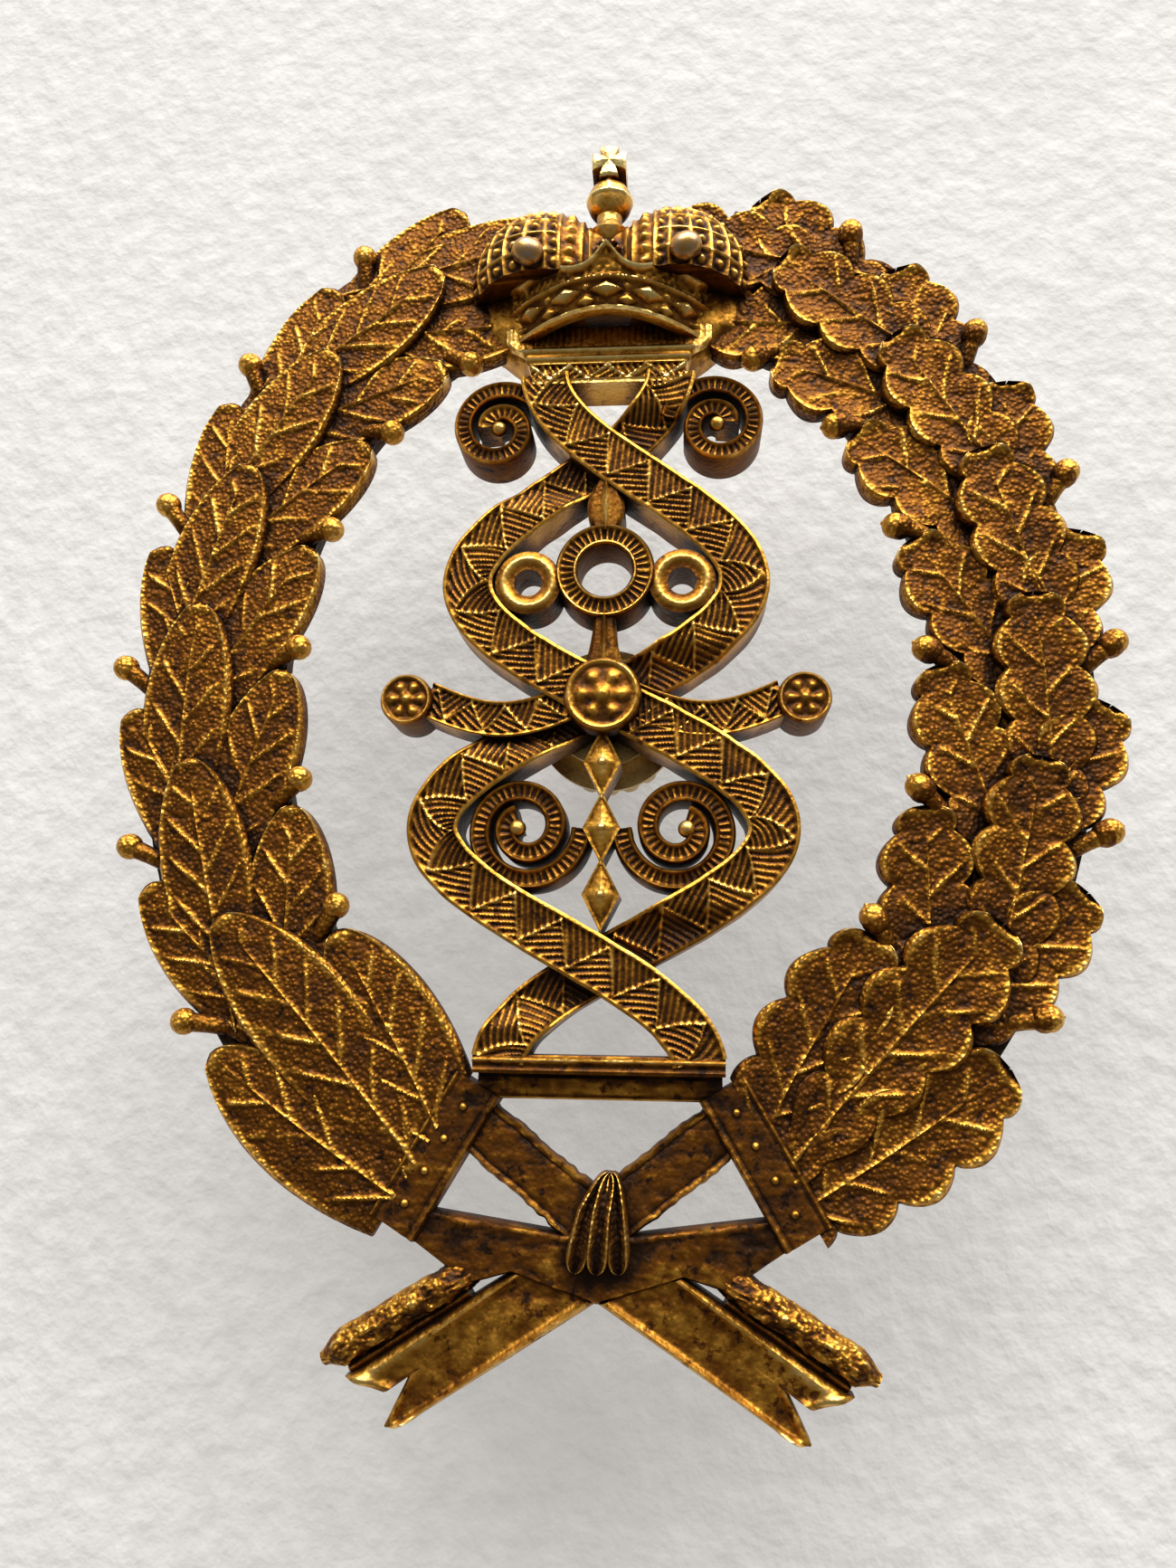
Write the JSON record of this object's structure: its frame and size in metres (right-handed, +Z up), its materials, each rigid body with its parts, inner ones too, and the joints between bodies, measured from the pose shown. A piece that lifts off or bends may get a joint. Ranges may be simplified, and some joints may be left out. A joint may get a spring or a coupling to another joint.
{
  "type": "cap badge",
  "caption": "Openwork gilt cap badge: laurel and oak wreath under a crown, interlaced strapwork centre, crossed stems with a ribbon, screw-post fixing with nut.",
  "frame": {"origin": "on the screw post's axis, at the badge's flat back face", "axes": "+Z up towards the crown, +X to the viewer's right, +Y backwards along the screw post; the face looks along -Y"},
  "size_m": [0.0426, 0.014, 0.0535],
  "materials": {
    "bright_gilt": "satin",
    "dark_gilt": "satin",
    "worn_gilt": "satin",
    "fixing_brass": "satin"
  },
  "bodies": {
    "badge": {"laurel_band": "dark_gilt", "laurel_side_leaves": "bright_gilt", "laurel_middle_leaves": "bright_gilt", "laurel_berries": "bright_gilt", "oak_band": "dark_gilt", "oak_side_leaves": "bright_gilt", "oak_middle_leaves": "bright_gilt", "oak_acorns": "bright_gilt", "crown_circlet": "bright_gilt", "crown_cap_left": "bright_gilt", "crown_cap_right": "bright_gilt", "crown_arch": "bright_gilt", "crown_cabochons": "worn_gilt", "crown_orb": "bright_gilt", "crown_cross": "bright_gilt", "crown_neck": "dark_gilt", "strand_left": "bright_gilt", "strand_right": "bright_gilt", "ring_finial": "bright_gilt", "inner_scroll_left": "bright_gilt", "inner_scroll_right": "bright_gilt", "lozenge_chain": "bright_gilt", "side_arm_left": "bright_gilt", "side_arm_right": "bright_gilt", "rosette_discs": "bright_gilt", "neck_scrolls": "bright_gilt", "centre_boss": "bright_gilt", "ledge": "dark_gilt", "crossbar": "dark_gilt", "strap_left": "dark_gilt", "strap_right": "dark_gilt", "crossed_stems": "dark_gilt", "ribbon_band": "dark_gilt", "ribbon_knot": "bright_gilt", "ribbon_tail_left": "bright_gilt", "ribbon_tail_right": "bright_gilt", "stem_end_left": "dark_gilt", "stem_end_right": "dark_gilt", "post_plate": "fixing_brass", "screw_post": "fixing_brass"},
    "washer": {"washer": "fixing_brass"},
    "nut": {"nut": "fixing_brass"}
  },
  "joints": [
    {"name": "washer_slide", "type": "slide", "parent": "badge", "child": "washer", "axis": [0, 1, 0], "range_m": [0, 0.004]},
    {"name": "nut_turn", "type": "hinge", "parent": "washer", "child": "nut", "pos_m": [0, 0.002, 0], "axis": [0, 1, 0], "range_deg": [0, 2880]}
  ],
  "couplings": [
    {"joint": "nut_turn", "follows": "washer_slide", "rad_per_m": 12566}
  ]
}
